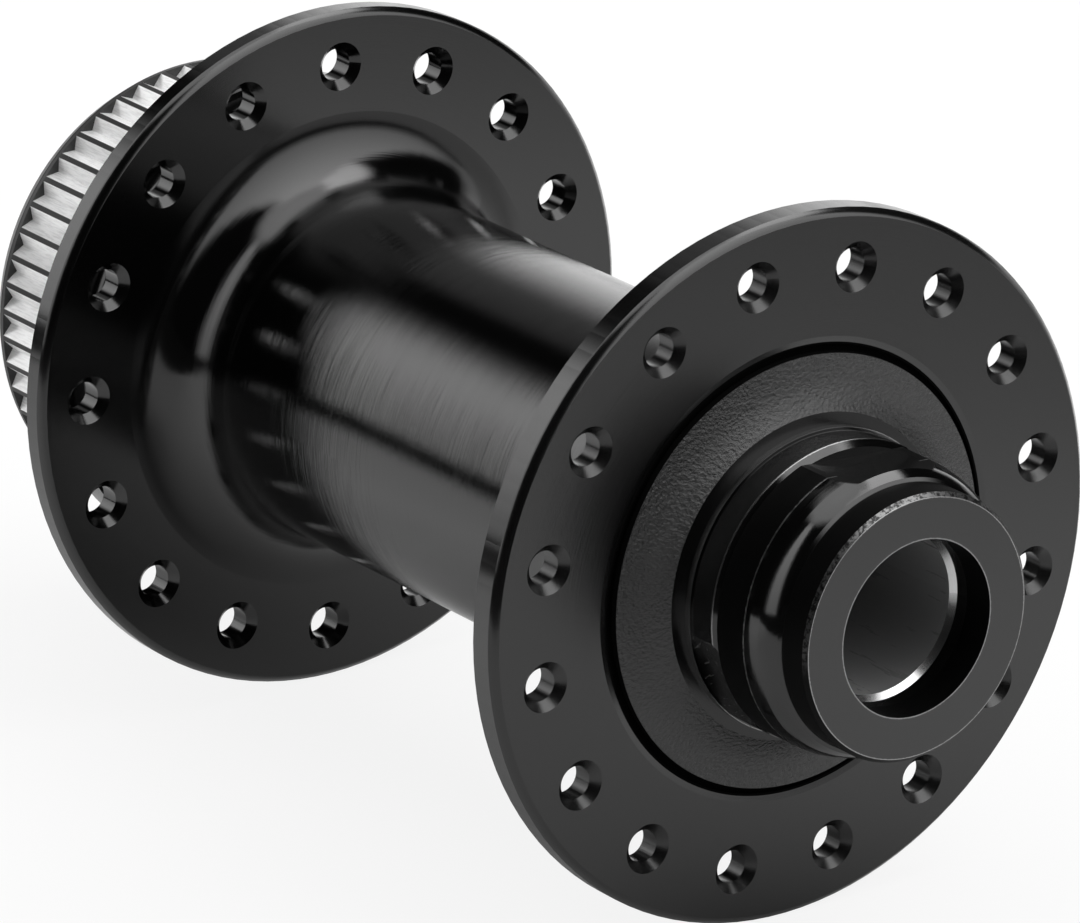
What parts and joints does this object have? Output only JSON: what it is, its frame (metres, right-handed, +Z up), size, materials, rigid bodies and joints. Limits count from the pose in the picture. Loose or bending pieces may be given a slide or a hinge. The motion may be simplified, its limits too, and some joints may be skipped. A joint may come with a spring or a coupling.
{
  "type": "bicycle front hub",
  "caption": "Spoked bicycle hub for a disc brake: two drilled flanges on a slim barrel, splined rotor mount, cup and cone bearings on a hollow thru axle.",
  "frame": {"origin": "on the axle's centre line, midway between the two end faces that the fork grips", "axes": "+Y along the axle towards the brake rotor (the rider's left), +X forward, +Z up"},
  "size_m": [0.0524, 0.1, 0.0524],
  "materials": {
    "anodised_shell": "black anodised, satin flanges and a polished barrel",
    "sleeve_plastic": "plain moulded",
    "washer_steel": "bright",
    "lock_ring": "black anodised",
    "axle_alloy": "dark anodised, bright at the end chamfers",
    "bearing_steel": "ground",
    "ball_steel": "polished",
    "cap_steel": "pressed",
    "cone_steel": "blackened, ground ball track",
    "seal_rubber": "smooth",
    "cover_rubber": "fine grained",
    "locknut_alloy": "black, worn bright at the edges"
  },
  "bodies": {
    "axle": {"hub_axle": "axle_alloy", "left_cone": "cone_steel", "left_seal_ring": "seal_rubber", "left_dust_cover": "cover_rubber", "left_locknut": "locknut_alloy", "right_cone": "cone_steel", "right_seal_ring": "seal_rubber", "right_dust_cover": "cover_rubber", "right_locknut": "locknut_alloy"},
    "shell": {"hub_shell": "anodised_shell", "grease_sleeve": "sleeve_plastic", "lock_ring_washer": "washer_steel", "rotor_lock_ring": "lock_ring", "left_cup": "bearing_steel", "left_dust_cap": "cap_steel", "right_cup": "bearing_steel", "right_dust_cap": "cap_steel"},
    "left_bearing": {"left_ball_01": "ball_steel", "left_ball_02": "ball_steel", "left_ball_03": "ball_steel", "left_ball_04": "ball_steel", "left_ball_05": "ball_steel", "left_ball_06": "ball_steel", "left_ball_07": "ball_steel", "left_ball_08": "ball_steel", "left_ball_09": "ball_steel", "left_ball_10": "ball_steel", "left_ball_11": "ball_steel", "left_ball_12": "ball_steel", "left_ball_13": "ball_steel", "left_ball_14": "ball_steel", "left_ball_15": "ball_steel", "left_ball_16": "ball_steel", "left_ball_17": "ball_steel"},
    "right_bearing": {"right_ball_01": "ball_steel", "right_ball_02": "ball_steel", "right_ball_03": "ball_steel", "right_ball_04": "ball_steel", "right_ball_05": "ball_steel", "right_ball_06": "ball_steel", "right_ball_07": "ball_steel", "right_ball_08": "ball_steel", "right_ball_09": "ball_steel", "right_ball_10": "ball_steel", "right_ball_11": "ball_steel", "right_ball_12": "ball_steel", "right_ball_13": "ball_steel", "right_ball_14": "ball_steel", "right_ball_15": "ball_steel", "right_ball_16": "ball_steel", "right_ball_17": "ball_steel"}
  },
  "joints": [
    {"name": "shell_spin", "type": "hinge", "parent": "axle", "child": "shell", "pos_m": [0, 0, 0], "axis": [0, 1, 0], "continuous": true},
    {"name": "left_balls_spin", "type": "hinge", "parent": "axle", "child": "left_bearing", "pos_m": [0, 0, 0], "axis": [0, 1, 0], "continuous": true},
    {"name": "right_balls_spin", "type": "hinge", "parent": "axle", "child": "right_bearing", "pos_m": [0, 0, 0], "axis": [0, 1, 0], "continuous": true}
  ],
  "couplings": [
    {"joint": "left_balls_spin", "follows": "shell_spin", "ratio": 0.5635},
    {"joint": "right_balls_spin", "follows": "shell_spin", "ratio": 0.5635}
  ]
}
